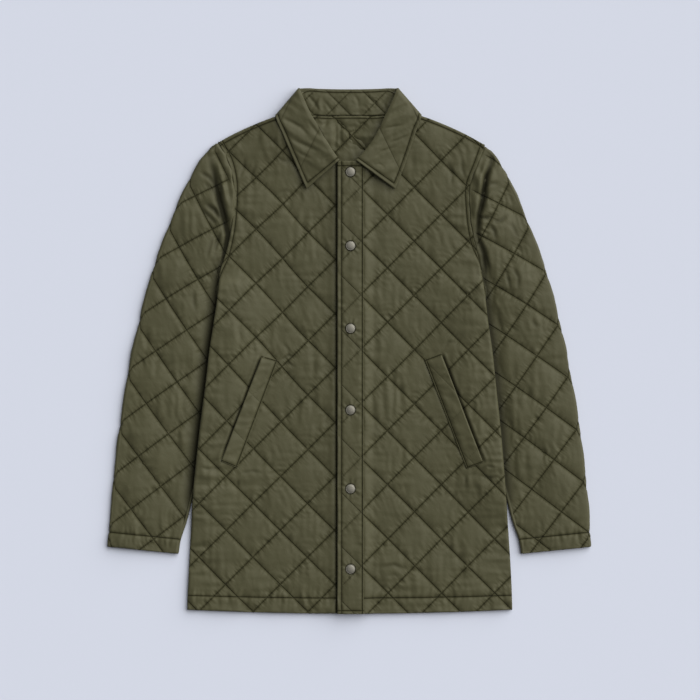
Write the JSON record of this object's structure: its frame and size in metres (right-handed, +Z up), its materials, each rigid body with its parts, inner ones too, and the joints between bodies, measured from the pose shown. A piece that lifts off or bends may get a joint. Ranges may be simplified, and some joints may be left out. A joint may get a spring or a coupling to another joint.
{
  "type": "quilted jacket",
  "caption": "Quilted snap-front jacket with a turn-down collar and slanted welt pockets, laid flat on its back with its sleeves beside it.",
  "frame": {"origin": "under the middle of the jacket as it lies, on the surface it rests on", "axes": "+Y from the hem to the collar, +Z up out of the jacket's front, +X towards the wearer's left side"},
  "size_m": [0.7736, 0.8405, 0.0213],
  "materials": {
    "quilted_nylon": "olive nylon taffeta, diamond quilted, soft low sheen",
    "snap_metal": "antique nickel, satin"
  },
  "bodies": {
    "root": {"back": "quilted_nylon", "front_right": "quilted_nylon", "front_left": "quilted_nylon", "placket": "quilted_nylon", "sleeve_right": "quilted_nylon", "sleeve_left": "quilted_nylon", "collar_stand": "quilted_nylon", "collar_fall": "quilted_nylon", "welt_right": "quilted_nylon", "welt_left": "quilted_nylon", "snap_1": "snap_metal", "snap_2": "snap_metal", "snap_3": "snap_metal", "snap_4": "snap_metal", "snap_5": "snap_metal", "snap_6": "snap_metal"}
  },
  "joints": []
}
